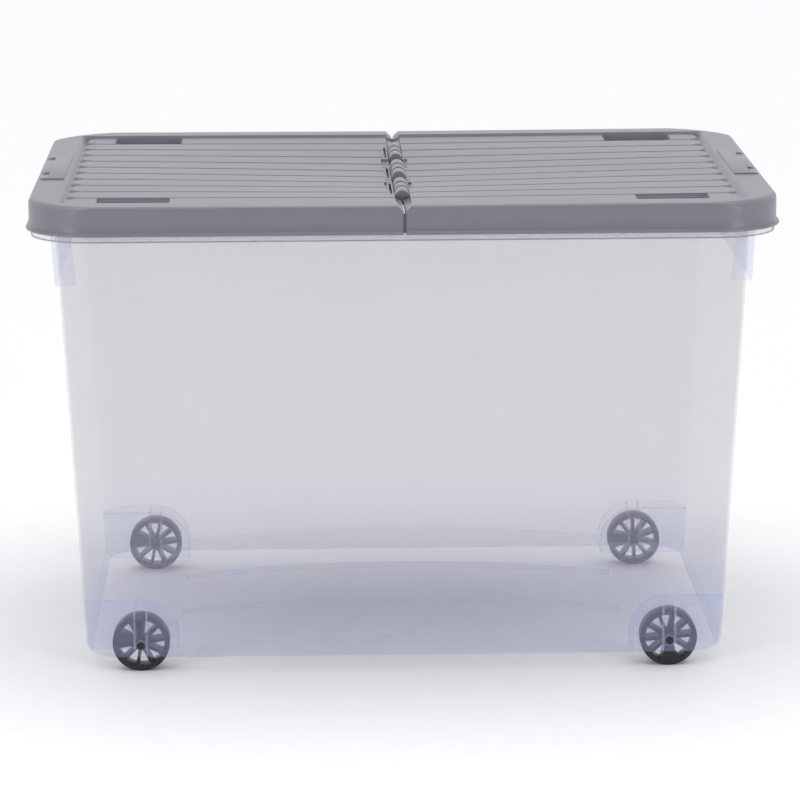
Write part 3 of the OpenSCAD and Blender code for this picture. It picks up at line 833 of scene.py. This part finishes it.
def latch(sx, name, node):
    """The latch: a slightly curved plate hanging from two knuckles, with a lip at the bottom."""
    shape = Shape()
    x0 = LID_X + 0.5 * MM
    x1 = x0 + LATCH_THICK
    high = LATCH_Z - 3.2 * MM
    low = RIM_Z - 10.4 * MM
    swell = 0.5 * MM
    outer, inner = [], []
    for t in (i / 8 for i in range(9)):
        z = high + (low - high) * t
        outer.append((x1 - swell + swell * math.sin(math.pi * t), z))
        inner.append((x0, z))
    outer += [(x1, low - 0.2 * MM), (x1 - 0.6 * MM, low - 1.0 * MM)]
    line = outer + [(x0 - 0.8 * MM, low - 0.6 * MM)] + inner[::-1]
    shape.prism_y([(sx * x, z) for x, z in line], -LATCH_Y, LATCH_Y)
    for s in (1, -1):
        y = s * LATCH_KNUCKLE_Y
        shape.barrel(sx * LATCH_X, LATCH_Z, LATCH_KNUCKLE_R, y - 8 * MM, y + 8 * MM,
                     hollow=(True, True), sides=40)
        arm = [(LATCH_X, LATCH_Z + 4.4 * MM), (LATCH_X + 4.5 * MM, LATCH_Z + 2.6 * MM),
               (x1 - swell, LATCH_Z - 2.5 * MM), (x1 - swell, high - 2 * MM),
               (x0, high - 2 * MM), (LATCH_X, LATCH_Z - 4.4 * MM)]
        shape.prism_y([(sx * x, z) for x, z in arm], y - 7.2 * MM, y + 7.2 * MM)
    obj = make(name, shape.verts, shape.faces, node, "lid_plastic", GREY, bevel=0.5 * MM)
    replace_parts(obj, node)


# ---------------------------------------------------------------- wheels
def rounded_copy(node, name, body, material, width):
    """A copy of a CAD node with its edges rounded, which replaces it."""
    mesh = frame["nodes"][node].data.copy()
    mesh.materials.clear()
    bm = bmesh.new()
    bm.from_mesh(mesh)
    bmesh.ops.remove_doubles(bm, verts=bm.verts, dist=1e-5)
    bmesh.ops.dissolve_limit(bm, angle_limit=math.radians(2), verts=bm.verts, edges=bm.edges)
    bm.to_mesh(mesh)
    bm.free()
    obj = bpy.data.objects.new(name, mesh)
    bpy.context.scene.collection.objects.link(obj)
    round_edges(obj, width, 2)
    finish_shading(obj, EDGE_ANGLE)
    obj.data.materials.clear()
    obj.data.materials.append(material)
    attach(obj, body)
    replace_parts(obj, node)


# ---------------------------------------------------------------- studio
def camera():
    """A long lens, a little right of centre, looking slightly down."""
    yaw, pitch, roll = math.radians(1.430), math.radians(11.674), math.radians(-0.257)
    place = Vector((-0.10547, -4.2756, 1.12849))
    forward = Vector((math.sin(yaw) * math.cos(pitch), math.cos(yaw) * math.cos(pitch),
                      -math.sin(pitch)))
    level = Vector((math.cos(yaw), -math.sin(yaw), 0))
    above = level.cross(forward)
    right = level * math.cos(roll) + above * math.sin(roll)
    up = above * math.cos(roll) - level * math.sin(roll)
    data = bpy.data.cameras.new("camera")
    data.sensor_width = 36
    data.lens = 176.12
    data.clip_end = 50
    obj = bpy.data.objects.new("camera", data)
    turn = Matrix((right, up, -forward)).transposed().to_4x4()
    obj.matrix_world = Matrix.Translation(place) @ turn
    bpy.context.scene.collection.objects.link(obj)
    bpy.context.scene.camera = obj


def area_light(name, at, aim, size, power):
    """A rectangular light that faces the point aim."""
    data = bpy.data.lights.new(name, "AREA")
    data.shape = "RECTANGLE"
    data.size, data.size_y = size
    data.energy = power
    obj = bpy.data.objects.new(name, data)
    obj.location = at
    obj.rotation_euler = (Vector(aim) - Vector(at)).to_track_quat("-Z", "Y").to_euler()
    bpy.context.scene.collection.objects.link(obj)


def studio():
    """A pale floor, a world that is darker in front and above, and three soft lights."""
    mat, nodes, links, shader = principled("floor_white", (0.93, 0.93, 0.935), 0.6)
    paper = noise(nodes, links, 40, 3)
    tint = ramp(nodes, links, paper.outputs["Fac"],
                [(0.3, (0.925, 0.925, 0.93)), (0.7, (0.94, 0.94, 0.945))])
    links.new(tint.outputs["Color"], shader.inputs["Base Color"])
    mesh = bpy.data.meshes.new("floor")
    size = 8.0
    corners = [(-size, -size, 0), (size, -size, 0), (size, size, 0), (-size, size, 0)]
    mesh.from_pydata(corners, [], [(0, 1, 2, 3)])
    floor = bpy.data.objects.new("floor", mesh)
    mesh.materials.append(mat)
    bpy.context.scene.collection.objects.link(floor)
    world = bpy.data.worlds.new("studio")
    world.use_nodes = True
    nodes, links = world.node_tree.nodes, world.node_tree.links
    coords = nodes.new("ShaderNodeTexCoord")
    split = nodes.new("ShaderNodeSeparateXYZ")
    links.new(coords.outputs["Generated"], split.inputs["Vector"])
    sky = ramp(nodes, links, split.outputs["Z"], [(0.3, (1, 1, 1)), (0.6, (0.5, 0.5, 0.52))])
    turn = nodes.new("ShaderNodeMapRange")
    turn.inputs["From Min"].default_value = -1
    links.new(split.outputs["Y"], turn.inputs["Value"])
    front = ramp(nodes, links, turn.outputs["Result"], [(0.1, (0.27, 0.27, 0.29)), (0.5, (1, 1, 1))])
    both = multiply(nodes, links, sky, front)
    links.new(both.outputs["Result"], nodes["Background"].inputs["Color"])
    bpy.context.scene.world = world
    above = bpy.data.lights.new("above", "SUN")
    above.energy = 1.8
    above.angle = math.radians(70)
    sun = bpy.data.objects.new("above", above)
    sun.rotation_euler = (math.radians(4), 0, 0)
    bpy.context.scene.collection.objects.link(sun)
    for name, x in (("front_left", -2.4), ("front_right", 2.4)):
        area_light(name, (x, -2.6, 1.3), aim=(0, 0, 0.3), size=(0.22, 1.2), power=18)
    bpy.context.scene.view_settings.view_transform = "Standard"
    bpy.context.scene.cycles.transparent_max_bounces = 32


studio()
camera()
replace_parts(tub_wall(), "tub")
tub_grips()
rim_shadow_band()
tub_floor()
for side, sx in (("left", -1), ("right", 1)):
    for end, sy in (("front", -1), ("rear", 1)):
        tub_housing(sx, sy, f"tub_housing_{end}_{side}")
        wheel = f"wheel_{end}_{side}"
        rounded_copy(wheel, wheel + "_tyre", wheel, BLACK, 0.6 * MM)
        axle = f"axle_{end}_{side}"
        rounded_copy(axle, axle + "_pin", "tub", BLACK, 0.5 * MM)
axle_bosses()
lid_half("lid_left_shell", -1, "lid_left", "lid_left")
lid_half("lid_right_shell", 1, "lid_right", "lid_right")
hinge_parts()
split_tongues()
latch_pad(-1, "lid_left", "latch_pad_left")
latch_pad(1, "lid_right", "latch_pad_right")
latch(-1, "latch_left_plate", "latch_left")
latch(1, "latch_right_plate", "latch_right")
